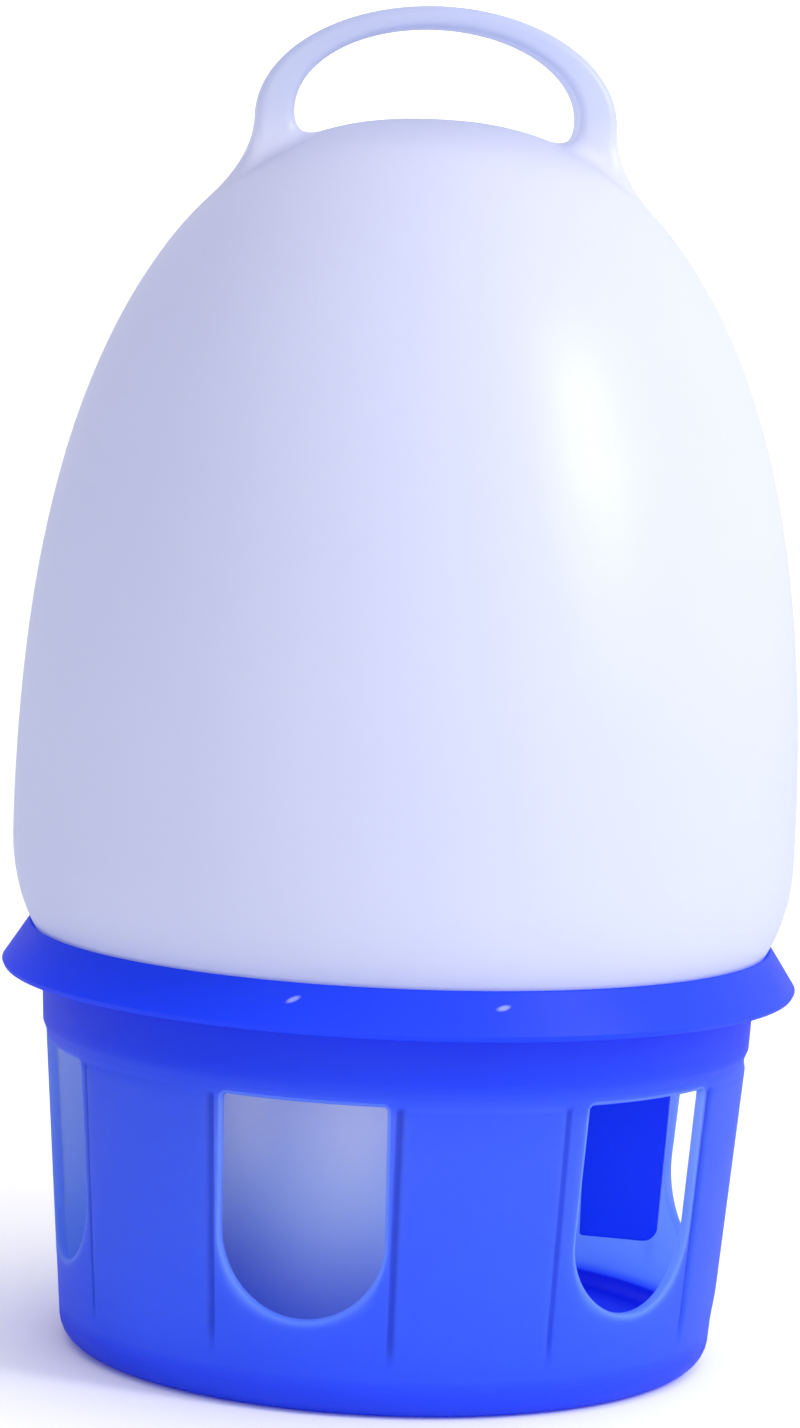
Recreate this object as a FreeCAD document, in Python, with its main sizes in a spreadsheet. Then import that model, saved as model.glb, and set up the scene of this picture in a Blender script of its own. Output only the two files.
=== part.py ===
"""Gravity drinker for pigeons and poultry: a reservoir standing neck down in a windowed trough base.

Frame: +Z up, origin at the centre of the base's underside, millimetres.
One drinking window is centred on -Y and the others follow at equal steps about Z.
Pieces: base_cup, neck_guide, reservoir and carry_handle, which is moulded in one with the reservoir.
"""

import FreeCAD, Part
import math
import os

import Sketcher

DRIVING = {
    # base cup
    "rim_radius": 100.0,
    "rim_edge_height": 95.0,
    "rim_edge_thickness": 1.6,
    "seat_radius": 93.1,
    "seat_height": 106.0,
    "seat_inner_height": 96.8,
    "band_top_radius": 89.9,
    "band_top_height": 101.0,
    "band_bottom_radius": 88.9,
    "band_bottom_height": 80.8,
    "wall_top_radius": 88.0,
    "wall_top_height": 78.6,
    "wall_foot_radius": 81.7,
    "wall_thickness": 2.4,
    "floor_top": 4.2,
    "foot_recess": 1.6,
    "foot_inner_radius": 64.0,
    "bottom_rounding": 6.5,
    "trough_rounding": 4.5,
    "window_count": 6,
    "window_half_width": 20.2,
    "window_top": 76.4,
    "window_bottom": 23.2,
    "panel_proud": 0.5,
    "panel_angle": 29.0,
    "panel_bottom": 13.0,
    "ledge_height": 90.0,
    "ledge_depth": 3.0,
    "ledge_width": 2.2,
    "guide_pocket_radius": 87.0,
    # neck guide
    "guide_thickness": 2.2,
    "guide_flange_radius": 86.6,
    "socket_radius": 74.6,
    "socket_bottom": 79.0,
    "guide_bore_radius": 48.6,
    "fin_inner_radius": 49.8,
    "fin_outer_radius": 71.6,
    "fin_tip_radius": 69.2,
    "fin_bottom": 32.4,
    "fin_corner": 3.6,
    "fin_count": 2,
    # reservoir
    "dome_radius": 98.0,
    "dome_centre_height": 130.0,
    "dome_rise": 178.6,
    "heel_drop": 58.4,
    "dome_exponent": 2.35,
    "reservoir_wall": 2.0,
    "shoulder_height": 94.5,
    "register_radius": 71.8,
    "register_bottom": 81.6,
    "neck_radius": 47.0,
    "neck_tip_radius": 45.8,
    "neck_bottom": 13.0,
    "reservoir_turn": 18.0,
    # handle
    "handle_half_width": 44.5,
    "handle_arch_rise": 28.2,
    "handle_arch_height": 308.0,
    "finger_half_width": 35.2,
    "finger_arch_rise": 21.2,
    "finger_arch_height": 309.5,
    "finger_corner_inset": 8.8,
    "finger_corner_drop": 6.6,
    "handle_depth": 20.0,
    "handle_foot_radius": 52.5,
    "handle_foot_height": 289.6,
    "handle_rounding": 2.3,
}
CURVE_STEPS = 28
MATCH_TOLERANCE = 0.01

doc = FreeCAD.newDocument("poultry_waterer")
sheet = doc.addObject("Spreadsheet::Sheet", "dims")


def fill_sheet():
    """One row for each driving dimension: its name in column A, its value in B under an alias."""
    for row, (alias, value) in enumerate(DRIVING.items(), start=1):
        sheet.set(f"A{row}", alias)
        sheet.set(f"B{row}", str(value))
        sheet.setAlias(f"B{row}", alias)
    doc.recompute()


def size(alias):
    return float(sheet.get(alias))


def origin_part(body, role):
    return next(feature for feature in body.Origin.OriginFeatures if feature.Role == role)


def new_body(label):
    body = doc.addObject("PartDesign::Body", label)
    body.Label = label
    return body


def new_sketch(body, name, plane="XZ_Plane"):
    sketch = body.newObject("Sketcher::SketchObject", name)
    sketch.AttachmentSupport = (origin_part(body, plane), [""])
    sketch.MapMode = "FlatFace"
    return sketch


def hold_point(sketch, line, end, across, up):
    """Places one end of a line by two sheet expressions; "0" puts it on the sketch's own axis."""
    for kind, axis, expression in (("DistanceX", -2, across), ("DistanceY", -1, up)):
        if expression == "0":
            sketch.addConstraint(Sketcher.Constraint("PointOnObject", line, end, axis))
            continue
        index = sketch.addConstraint(Sketcher.Constraint(kind, -1, 1, line, end, 1.0))
        sketch.setExpression(f"Constraints[{index}]", expression)


def closed_outline(sketch, corners):
    """Straight sides through corners, each corner given as two sheet expressions: across and up."""
    count = len(corners)
    turn = 2 * math.pi / count
    ring = [FreeCAD.Vector(1 + math.cos(i * turn), 1 + math.sin(i * turn), 0) for i in range(count)]
    for i in range(count):
        sketch.addGeometry(Part.LineSegment(ring[i], ring[(i + 1) % count]), False)
    for i in range(count):
        sketch.addConstraint(Sketcher.Constraint("Coincident", i, 2, (i + 1) % count, 1))
    for i, (across, up) in enumerate(corners):
        hold_point(sketch, i, 1, across, up)


def revolve(body, sketch, name, angle="360", midplane=False):
    turned = body.newObject("PartDesign::Revolution", name)
    turned.Profile = sketch
    turned.ReferenceAxis = (origin_part(body, "Z_Axis"), [""])
    turned.Midplane = midplane
    turned.setExpression("Angle", angle)
    doc.recompute()
    return turned


def repeat_about_z(body, feature, name, count):
    pattern = body.newObject("PartDesign::PolarPattern", name)
    pattern.Originals = [feature]
    pattern.Axis = (origin_part(body, "Z_Axis"), [""])
    pattern.Angle = 360.0
    pattern.setExpression("Occurrences", count)
    body.Tip = pattern
    doc.recompute()
    return pattern


def round_edges(body, base, name, radius, wanted):
    """Fillets the edges of base that wanted(edge) picks."""
    names = [f"Edge{i}" for i, edge in enumerate(base.Shape.Edges, start=1) if wanted(edge)]
    rounded = body.newObject("PartDesign::Fillet", name)
    rounded.Base = (base, names)
    rounded.setExpression("Radius", radius)
    body.Tip = rounded
    doc.recompute()
    return rounded


def circle_at(radius, height):
    """Picks the full-turn edges of that radius and height about Z."""

    def wanted(edge):
        circle = edge.Curve if isinstance(edge.Curve, Part.Circle) else None
        return (
            circle is not None
            and math.isclose(circle.Radius, radius, abs_tol=MATCH_TOLERANCE)
            and math.isclose(circle.Center.z, height, abs_tol=MATCH_TOLERANCE)
        )

    return wanted


def make_base_cup():
    """Floor, tapered wall with windows, band, drip skirt and the seat that the reservoir rests on."""
    body = new_body("base_cup")
    section = new_sketch(body, "cup_section")
    half_edge = "dims.rim_edge_thickness / 2"
    closed_outline(section, [
        ("0", "dims.foot_recess"),
        ("dims.foot_inner_radius", "dims.foot_recess"),
        ("dims.foot_inner_radius + dims.foot_recess", "0"),
        ("dims.wall_foot_radius", "0"),
        ("dims.wall_top_radius", "dims.wall_top_height"),
        ("dims.band_bottom_radius", "dims.band_bottom_height"),
        ("dims.band_top_radius", "dims.band_top_height"),
        (f"dims.rim_radius - {half_edge}", f"dims.rim_edge_height - {half_edge}"),
        ("dims.rim_radius", f"dims.rim_edge_height + {half_edge}"),
        ("dims.seat_radius", "dims.seat_height"),
        ("dims.guide_pocket_radius", "dims.seat_inner_height"),
        ("dims.guide_pocket_radius", "dims.ledge_height"),
        ("dims.guide_pocket_radius - dims.ledge_width", "dims.ledge_height"),
        ("dims.guide_pocket_radius - dims.ledge_width", "dims.ledge_height - dims.ledge_depth"),
        ("dims.wall_top_radius - dims.wall_thickness", "dims.wall_top_height"),
        ("dims.wall_foot_radius - dims.wall_thickness", "dims.floor_top"),
        ("0", "dims.floor_top"),
    ])
    doc.recompute()
    shell = revolve(body, section, "cup_shell")
    foot = round_edges(
        body, shell, "bottom_edge", "dims.bottom_rounding", circle_at(size("wall_foot_radius"), 0)
    )
    trough_radius = size("wall_foot_radius") - size("wall_thickness")
    round_edges(
        body, foot, "trough_edge", "dims.trough_rounding", circle_at(trough_radius, size("floor_top"))
    )

    strip = new_sketch(body, "panel_section")
    slope = "(dims.wall_top_radius - dims.wall_foot_radius) / dims.wall_top_height"
    low = f"dims.wall_foot_radius + {slope} * dims.panel_bottom"
    high = f"dims.wall_foot_radius + {slope} * dims.window_top"
    closed_outline(strip, [
        (f"{low} - dims.wall_thickness / 2", "dims.panel_bottom"),
        (f"{low} + dims.panel_proud", "dims.panel_bottom"),
        (f"{high} + dims.panel_proud", "dims.window_top"),
        (f"{high} - dims.wall_thickness / 2", "dims.window_top"),
    ])
    doc.recompute()
    panel = revolve(body, strip, "pillar_panel", "dims.panel_angle", midplane=True)
    repeat_about_z(body, panel, "pillar_panels", "dims.window_count")

    opening = new_sketch(body, "window_outline")
    draw_window(opening)
    cut = body.newObject("PartDesign::Pocket", "window")
    cut.Profile = opening
    cut.Type = "Length"
    cut.setExpression("Length", "dims.rim_radius")
    doc.recompute()
    repeat_about_z(body, cut, "windows", "dims.window_count")
    return body


def draw_window(sketch):
    """A flat-topped window with a half-round sill."""
    left, right, top, sill = 0, 1, 2, 3
    sketch.addGeometry(Part.LineSegment(FreeCAD.Vector(-1, 4, 0), FreeCAD.Vector(-1, 2, 0)), False)
    sketch.addGeometry(Part.LineSegment(FreeCAD.Vector(1, 2, 0), FreeCAD.Vector(1, 4, 0)), False)
    sketch.addGeometry(Part.LineSegment(FreeCAD.Vector(1, 4, 0), FreeCAD.Vector(-1, 4, 0)), False)
    circle = Part.Circle(FreeCAD.Vector(0, 2, 0), FreeCAD.Vector(0, 0, 1), 1)
    sketch.addGeometry(Part.ArcOfCircle(circle, math.pi, 2 * math.pi), False)
    sketch.addConstraint(Sketcher.Constraint("Tangent", left, 2, sill, 1))
    sketch.addConstraint(Sketcher.Constraint("Tangent", sill, 2, right, 1))
    sketch.addConstraint(Sketcher.Constraint("Coincident", right, 2, top, 1))
    sketch.addConstraint(Sketcher.Constraint("Coincident", top, 2, left, 1))
    sketch.addConstraint(Sketcher.Constraint("Vertical", left))
    sketch.addConstraint(Sketcher.Constraint("Vertical", right))
    sketch.addConstraint(Sketcher.Constraint("Horizontal", top))
    sketch.addConstraint(Sketcher.Constraint("PointOnObject", sill, 3, -2))
    radius = sketch.addConstraint(Sketcher.Constraint("Radius", sill, 1.0))
    sketch.setExpression(f"Constraints[{radius}]", "dims.window_half_width")
    middle = sketch.addConstraint(Sketcher.Constraint("DistanceY", -1, 1, sill, 3, 2.0))
    sketch.setExpression(f"Constraints[{middle}]", "dims.window_bottom + dims.window_half_width")
    lintel = sketch.addConstraint(Sketcher.Constraint("DistanceY", -1, 1, right, 2, 4.0))
    sketch.setExpression(f"Constraints[{lintel}]", "dims.window_top")
    doc.recompute()


def fin_tip_edge(edge):
    """Picks the edge across each fin's thickness at its outer lower corner."""
    middle = edge.CenterOfMass
    return (
        math.isclose(abs(middle.x), size("fin_tip_radius"), abs_tol=MATCH_TOLERANCE)
        and math.isclose(middle.z, size("fin_bottom"), abs_tol=MATCH_TOLERANCE)
    )


def make_neck_guide():
    """Ring that drops into the cup's mouth, centres the reservoir's neck and carries two steadying fins."""
    body = new_body("neck_guide")
    section = new_sketch(body, "guide_section")
    closed_outline(section, [
        ("dims.guide_flange_radius", "dims.ledge_height"),
        ("dims.guide_flange_radius", "dims.ledge_height + dims.guide_thickness"),
        ("dims.socket_radius - dims.guide_thickness", "dims.ledge_height + dims.guide_thickness"),
        ("dims.socket_radius - dims.guide_thickness", "dims.socket_bottom + dims.guide_thickness"),
        ("dims.guide_bore_radius", "dims.socket_bottom + dims.guide_thickness"),
        ("dims.guide_bore_radius", "dims.socket_bottom"),
        ("dims.socket_radius", "dims.socket_bottom"),
        ("dims.socket_radius", "dims.ledge_height"),
    ])
    doc.recompute()
    revolve(body, section, "guide_ring")

    embedded_top = "dims.socket_bottom + dims.guide_thickness / 2"
    outline = new_sketch(body, "fin_outline")
    closed_outline(outline, [
        ("dims.fin_inner_radius", "dims.fin_bottom"),
        ("dims.fin_tip_radius", "dims.fin_bottom"),
        ("dims.fin_outer_radius", "dims.socket_bottom"),
        ("dims.fin_outer_radius", embedded_top),
        ("dims.fin_inner_radius", embedded_top),
    ])
    doc.recompute()
    fin = body.newObject("PartDesign::Pad", "fin")
    fin.Profile = outline
    fin.SideType = "Symmetric"
    fin.setExpression("Length", "dims.guide_thickness")
    doc.recompute()
    fins = repeat_about_z(body, fin, "fins", "dims.fin_count")
    round_edges(body, fins, "fin_tips", "dims.fin_corner", fin_tip_edge)
    return body


def superellipse(radius, rise, centre_height, first, last):
    """Points from angle first to angle last, in radians, of the dome's curve in the XZ half plane."""
    power = 2 / size("dome_exponent")
    points = []
    for i in range(CURVE_STEPS + 1):
        angle = first + (last - first) * i / CURVE_STEPS
        across = radius * math.cos(angle) ** power if i < CURVE_STEPS or last < math.pi / 2 else 0.0
        lift = math.copysign(abs(math.sin(angle)) ** power, angle)
        points.append(FreeCAD.Vector(across, 0, centre_height + rise * lift))
    return points


def smooth_edge(points):
    curve = Part.BSplineCurve()
    curve.interpolate(points)
    return curve.toShape()


def reservoir_outline(inset):
    """The dome, heel, register and neck as wire edges, moved inwards by inset, from the top down."""
    radius = size("dome_radius") - inset
    centre = size("dome_centre_height")
    shoulder = size("shoulder_height") + inset
    heel = size("heel_drop") - inset
    share = (centre - shoulder) / heel
    heel_angle = math.asin(share ** (size("dome_exponent") / 2))
    upper = superellipse(radius, size("dome_rise") - inset, centre, 0.0, math.pi / 2)
    lower = superellipse(radius, heel, centre, 0.0, -heel_angle)
    register = size("register_radius") - inset
    register_low = size("register_bottom") + inset
    bottom = size("neck_bottom")
    corners = [
        lower[-1],
        FreeCAD.Vector(register, 0, shoulder),
        FreeCAD.Vector(register, 0, register_low),
        FreeCAD.Vector(size("neck_radius") - inset, 0, register_low),
        FreeCAD.Vector(size("neck_tip_radius") - inset, 0, bottom),
    ]
    sides = [Part.LineSegment(a, b).toShape() for a, b in zip(corners, corners[1:])]
    return [smooth_edge(upper[::-1]), smooth_edge(lower), *sides], upper[-1], corners[-1]


def turned_solid(edges):
    face = Part.Face(Part.Wire(Part.__sortEdges__(edges)))
    return face.revolve(FreeCAD.Vector(0, 0, 0), FreeCAD.Vector(0, 0, 1), 360)


def solid_inside(inset):
    """The reservoir's outline, inset, revolved as a solid plug from the crown down to the neck's mouth."""
    edges, crown, mouth = reservoir_outline(inset)
    base = FreeCAD.Vector(0, 0, mouth.z)
    edges.append(Part.LineSegment(mouth, base).toShape())
    edges.append(Part.LineSegment(base, crown).toShape())
    return turned_solid(edges)


def make_reservoir():
    """Blow-moulded bottle, dome up and neck down, open at the neck's mouth."""
    part = doc.addObject("Part::Feature", "reservoir")
    part.Label = "reservoir"
    outer, crown, lip = reservoir_outline(0.0)
    inner, inner_crown, inner_lip = reservoir_outline(size("reservoir_wall"))
    joins = [Part.LineSegment(crown, inner_crown), Part.LineSegment(lip, inner_lip)]
    part.Shape = turned_solid([*outer, *inner, *(join.toShape() for join in joins)])
    part.Placement.Rotation = FreeCAD.Rotation(FreeCAD.Vector(0, 0, 1), size("reservoir_turn"))
    return part


def arc_leaving_upright(start, end):
    """Arc in the XZ plane that leaves start straight down and ends at end."""
    across = end.x - start.x
    drop = end.z - start.z
    radius = (across**2 + drop**2) / (2 * across)
    centre = FreeCAD.Vector(start.x + radius, 0, start.z)
    to_start = start - centre
    half_way = (to_start.normalize() + (end - centre).normalize()).normalize()
    return Part.Arc(start, centre + half_way * abs(radius), end).toShape()


def half_ellipse(half_width, rise, height):
    """The upper half of an ellipse in the XZ plane, from +X to -X."""
    middle = FreeCAD.Vector(0, 0, height)
    side = FreeCAD.Vector(half_width, 0, height)
    top = FreeCAD.Vector(0, 0, height + rise)
    ellipse = Part.Ellipse(side, top, middle)
    return Part.ArcOfEllipse(ellipse, 0, math.pi).toShape()


def make_carry_handle():
    """Arched strap with flared feet that run into the dome."""
    part = doc.addObject("Part::Feature", "carry_handle")
    part.Label = "carry_handle"
    wide, narrow = size("handle_half_width"), size("finger_half_width")
    arch, finger = size("handle_arch_height"), size("finger_arch_height")
    foot, low = size("handle_foot_radius"), size("handle_foot_height")
    root = low - size("handle_depth")
    crotch_inset, crotch_drop = size("finger_corner_inset"), size("finger_corner_drop")
    edges = [
        half_ellipse(wide, size("handle_arch_rise"), arch),
        half_ellipse(narrow, size("finger_arch_rise"), finger),
    ]
    for side in (1, -1):
        hip = FreeCAD.Vector(side * wide, 0, arch)
        toe = FreeCAD.Vector(side * foot, 0, low)
        heel = FreeCAD.Vector(side * wide, 0, root)
        inner_root = FreeCAD.Vector(side * (narrow - crotch_inset), 0, root)
        crotch = FreeCAD.Vector(side * (narrow - crotch_inset), 0, finger - crotch_drop)
        shoulder = FreeCAD.Vector(side * narrow, 0, finger)
        edges.append(arc_leaving_upright(hip, toe))
        edges.append(Part.LineSegment(toe, heel).toShape())
        edges.append(Part.LineSegment(heel, inner_root).toShape())
        edges.append(Part.LineSegment(inner_root, crotch).toShape())
        edges.append(arc_leaving_upright(shoulder, crotch))
    depth = size("handle_depth")
    strap = Part.Face(Part.Wire(Part.__sortEdges__(edges))).extrude(FreeCAD.Vector(0, depth, 0))
    strap.translate(FreeCAD.Vector(0, -depth / 2, 0))
    above_feet = [edge for edge in strap.Edges if edge.BoundBox.ZMax > low]
    long_edges = [edge for edge in above_feet if edge.BoundBox.YLength < MATCH_TOLERANCE]
    strap = strap.makeFillet(size("handle_rounding"), long_edges)
    part.Shape = strap.cut(solid_inside(0.0))
    part.Placement.Rotation = FreeCAD.Rotation(FreeCAD.Vector(0, 0, 1), size("reservoir_turn"))
    return part


def check_document():
    failed = [o.Name for o in doc.Objects if "Invalid" in o.State or "Error" in o.State]
    if failed:
        raise RuntimeError(f"these objects failed to compute: {failed}")


def write_parts(pieces):
    os.makedirs("parts", exist_ok=True)
    for piece in pieces:
        shape = piece.Shape
        if shape.isNull() or not shape.isValid():
            raise RuntimeError(f"{piece.Label} has no valid shape")
        print(piece.Label, "solids", len(shape.Solids), "volume cm3", round(shape.Volume / 1000, 2))
        shape.exportStep(f"parts/{piece.Label}.step")


fill_sheet()
cup = make_base_cup()
guide = make_neck_guide()
tank = make_reservoir()
handle = make_carry_handle()
doc.recompute()
check_document()
write_parts([cup, guide, tank, handle])
print("litres", round(solid_inside(size("reservoir_wall")).Volume / 1e6, 2))
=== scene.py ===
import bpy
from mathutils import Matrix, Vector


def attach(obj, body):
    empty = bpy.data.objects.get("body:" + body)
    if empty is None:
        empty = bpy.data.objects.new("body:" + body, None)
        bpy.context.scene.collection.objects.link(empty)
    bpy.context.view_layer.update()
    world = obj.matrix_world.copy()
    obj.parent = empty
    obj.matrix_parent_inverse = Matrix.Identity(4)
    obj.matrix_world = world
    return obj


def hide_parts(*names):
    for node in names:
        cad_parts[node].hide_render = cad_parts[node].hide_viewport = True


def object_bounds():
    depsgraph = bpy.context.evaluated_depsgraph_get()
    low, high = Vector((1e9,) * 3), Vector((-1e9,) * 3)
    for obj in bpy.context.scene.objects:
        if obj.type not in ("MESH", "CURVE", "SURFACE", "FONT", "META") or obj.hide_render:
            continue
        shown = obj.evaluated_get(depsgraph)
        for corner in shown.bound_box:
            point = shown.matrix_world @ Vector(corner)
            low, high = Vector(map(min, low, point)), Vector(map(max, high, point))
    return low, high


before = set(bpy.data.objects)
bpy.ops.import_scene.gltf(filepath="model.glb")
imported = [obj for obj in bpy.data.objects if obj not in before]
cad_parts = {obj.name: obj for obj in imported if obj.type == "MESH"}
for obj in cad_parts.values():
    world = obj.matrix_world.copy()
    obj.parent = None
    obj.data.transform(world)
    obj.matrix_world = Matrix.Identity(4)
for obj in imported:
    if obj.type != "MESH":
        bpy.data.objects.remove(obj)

"""Looks of a gravity drinker: white blow-moulded reservoir with a carry handle on a blue windowed base.

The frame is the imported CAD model, in metres, +Z up. Lengths below are in millimetres and are turned
into metres by MM where a vertex is made. The first drinking window is centred on -Y.
"""
import math

import bmesh
import bpy
from mathutils import Matrix, Vector, noise

MM = 0.001
cad_low, cad_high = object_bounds()

# ---------------------------------------------------------------- sizes, in millimetres and degrees
CUP = {
    "rim_radius": 99.75,
    "rim_edge_height": 95.0,
    "rim_edge_thickness": 1.6,
    "seat_radius": 93.1,
    "seat_height": 106.0,
    "seat_inner_height": 96.8,
    "pocket_radius": 87.0,
    "ledge_height": 90.0,
    "ledge_depth": 3.0,
    "ledge_width": 2.2,
    "band_top": (89.9, 101.0),
    "band_bottom": (88.9, 80.8),
    "wall_top": (88.0, 78.6),
    "wall_foot_radius": 81.7,
    "wall_thickness": 2.4,
    "floor_top": 4.2,
    "foot_recess": 1.6,
    "foot_inner_radius": 64.0,
    "bottom_rounding": 6.5,
    "trough_rounding": 3.2,
    "centre_radius": 20.0,
    "wall_low": 8.0,
    "wall_high": 78.1,
}
WINDOW = {
    "count": 6,
    "half_width": 20.2,
    "top": 76.4,
    "bottom": 23.2,
    "corner_rounding": 1.4,
    "outer_rounding": 0.9,
    "inner_rounding": 0.5,
}
BLOCK_ANGLE = 14.55
BLOCK_BOTTOM, BLOCK_TOP = 15.2, 77.6
PANEL_EDGE = 14.62
WIDE_PANEL_EDGE = 16.5
PANEL_PROUD = 0.45
# degrees beyond a panel's edge at which its groove's profile changes
GROOVE_PLACES = (0.0, 0.4, 1.05, 1.5, 1.9)
GROOVE_DEPTH = 0.5
PANEL_FOOT = (10.5, 20.0)
PANEL_HEAD = (75.4, 76.8)
# painted highlight: how strongly each ring of a window's rounded outer edge is painted paler
RIM_HIGHLIGHT_SHARES = (0.3, 0.8, 1.0, 0.9, 0.6, 0.4)
GUIDE = {
    "thickness": 2.2,
    "flange_radius": 86.6,
    "socket_radius": 74.6,
    "socket_bottom": 79.0,
    "bore_radius": 48.6,
    "fin_inner": 49.8,
    "fin_outer": 71.6,
    "fin_tip": 69.2,
    "fin_bottom": 32.4,
    "fin_corner": 3.6,
    "fin_rounding": 0.5,
}
BOTTLE = {
    "radius": 98.0,
    "centre": 130.0,
    "rise": 178.6,
    "heel_drop": 58.4,
    "exponent": 2.35,
    "wall": 2.0,
    "shoulder": 94.5,
    "register_radius": 71.8,
    "register_bottom": 81.6,
    "neck_radius": 47.0,
    "neck_tip_radius": 45.8,
    "neck_bottom": 13.0,
    "turn": 18.0,
}
HANDLE = {
    "outer": (44.5, 28.0, 308.0),
    "inner": (35.2, 21.2, 309.5),
    "half_depth": 10.0,
    "rounding": 2.3,
}
FOOT_CENTRE, FOOT_SINK = 40.0, 0.05
FOOT_RUN = (10.5, 8.0, 4.5)
FOOT_LIFT = (13.4, 8.6, 5.0)
SLOPE_STEP = 0.01
SEAM_HEIGHT, SEAM_WIDTH = 0.12, 0.35
DARK_SIDE_AZIMUTH, DARK_SIDE_ELEVATION = -80.0, 20.0
DARK_SIDE_COLOUR = (0.31, 0.29, 0.32)
ROOM_BRIGHTNESS = 1.5


# ---------------------------------------------------------------- small geometry helpers
def spread(first, last, cells):
    """cells + 1 evenly spaced values."""
    return [first + (last - first) * i / cells for i in range(cells + 1)]


def smooth_step(low, high, value):
    share = min(1.0, max(0.0, (value - low) / (high - low)))
    return share * share * (3 - 2 * share)


def interpolate(knots, place):
    """Straight-line value at place between (place, value) knots, level beyond both ends."""
    if place <= knots[0][0]:
        return knots[0][1]
    for (a, low), (b, high) in zip(knots, knots[1:]):
        if place < b:
            return low + (high - low) * (place - a) / (b - a)
    return knots[-1][1]


def rounded_profile(corners, steps=5, guard=0.3):
    """Points of a polyline whose corners (radius, height, rounding) are replaced by arcs.

    A guard point stands just before and after each arc, so that smooth shading keeps the flats flat.
    """
    points = [Vector(corners[0][:2])]
    for before, here, after in zip(corners, corners[1:], corners[2:]):
        corner = Vector(here[:2])
        to_before = (Vector(before[:2]) - corner).normalized()
        to_after = (Vector(after[:2]) - corner).normalized()
        half = to_before.angle(to_after) / 2
        reach = here[2] / math.tan(half)
        centre = corner + (to_before + to_after).normalized() * (here[2] / math.sin(half))
        start, end = corner + to_before * reach, corner + to_after * reach
        points.append(start + to_before * guard)
        arc_start, arc_end = start - centre, end - centre
        sweep = arc_start.angle(arc_end)
        for i in range(steps + 1):
            t = i / steps
            spoke = arc_start * math.sin((1 - t) * sweep) + arc_end * math.sin(t * sweep)
            points.append(centre + spoke / math.sin(sweep))
        points.append(end + to_after * guard)
    points.append(Vector(corners[-1][:2]))
    return [(p.x, p.y) for p in points]


def at(radius, angle, height):
    """A point in metres; angle is in degrees from -Y towards +X."""
    turn = math.radians(angle)
    return Vector((radius * math.sin(turn), -radius * math.cos(turn), height)) * MM


def new_piece(name, mesh_builder, material, body):
    """Makes an object from a bmesh, shades it smooth and hangs it on its body."""
    mesh = bpy.data.meshes.new(name)
    bmesh.ops.recalc_face_normals(mesh_builder, faces=mesh_builder.faces)
    mesh_builder.to_mesh(mesh)
    mesh_builder.free()
    mesh.shade_smooth()
    piece = bpy.data.objects.new(name, mesh)
    bpy.context.scene.collection.objects.link(piece)
    mesh.materials.append(material)
    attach(piece, body)
    return piece


def quad_strip(builder, row_a, row_b, closed=True):
    """Quads between two rows of vertices; a row of one vertex makes a fan."""
    count = max(len(row_a), len(row_b))
    for i in range(count if closed else count - 1):
        j = (i + 1) % count
        ring = [row_a[i % len(row_a)], row_a[j % len(row_a)], row_b[j % len(row_b)], row_b[i % len(row_b)]]
        unique = list(dict.fromkeys(ring))
        if len(unique) > 2:
            builder.faces.new(unique)


# ---------------------------------------------------------------- base cup
def wall_radius(height):
    top_radius, top = CUP["wall_top"]
    return CUP["wall_foot_radius"] + (top_radius - CUP["wall_foot_radius"]) * height / top


def inner_wall_radius(height):
    top_radius, top = CUP["wall_top"]
    foot = CUP["wall_foot_radius"] - CUP["wall_thickness"]
    share = (height - CUP["floor_top"]) / (top - CUP["floor_top"])
    return foot + (top_radius - CUP["wall_thickness"] - foot) * share


def panel_edges(sector):
    """Where the raised panels begin on the left and right of a window, in degrees from its middle."""
    return (WIDE_PANEL_EDGE if sector == 1 else PANEL_EDGE), PANEL_EDGE


def on_panel(height):
    """1 between a panel's foot and its top, fading to 0 outside."""
    return smooth_step(*PANEL_FOOT, height) * (1 - smooth_step(*PANEL_HEAD, height))


def panel_relief(beyond, height):
    """How far the wall stands out at that many degrees beyond a panel's edge: a groove, then the panel."""
    depths = (0.0, -GROOVE_DEPTH, -GROOVE_DEPTH, 0.6 * PANEL_PROUD, PANEL_PROUD)
    return interpolate(list(zip(GROOVE_PLACES, depths)), beyond) * on_panel(height)


def groove_shade_share(beyond, height):
    """Share of painted shade in a groove: 1 in the groove's bottom and 0 away from it."""
    return interpolate(list(zip(GROOVE_PLACES, (0.0, 1.0, 1.0, 0.35, 0.0))), beyond) * on_panel(height)


def sector_angles(sector):
    """Columns of one sixth of the cup: (degrees from its window's middle, degrees beyond a panel's edge)."""
    left_edge, right_edge = panel_edges(sector)
    half_middle = spread(-12.6, 12.6, 22)
    sides = [13.3, 13.9, 14.3, BLOCK_ANGLE]
    middle = [-a for a in reversed(sides)] + half_middle + sides

    def beyond(edge):
        lead = [(BLOCK_ANGLE + edge) / 2] if edge > PANEL_EDGE else []
        rest = spread(edge + GROOVE_PLACES[-1], 30.0, 11)[1:]
        return lead + [edge + g for g in GROOVE_PLACES] + rest

    left = [-a for a in reversed(beyond(left_edge))]
    right = beyond(right_edge)[:-1]
    columns = [(a, -a - left_edge) for a in left]
    columns += [(a, -1.0) for a in middle]
    columns += [(a, a - right_edge) for a in right]
    first_block = len(left)
    return columns, first_block, first_block + len(middle) - 1


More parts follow.
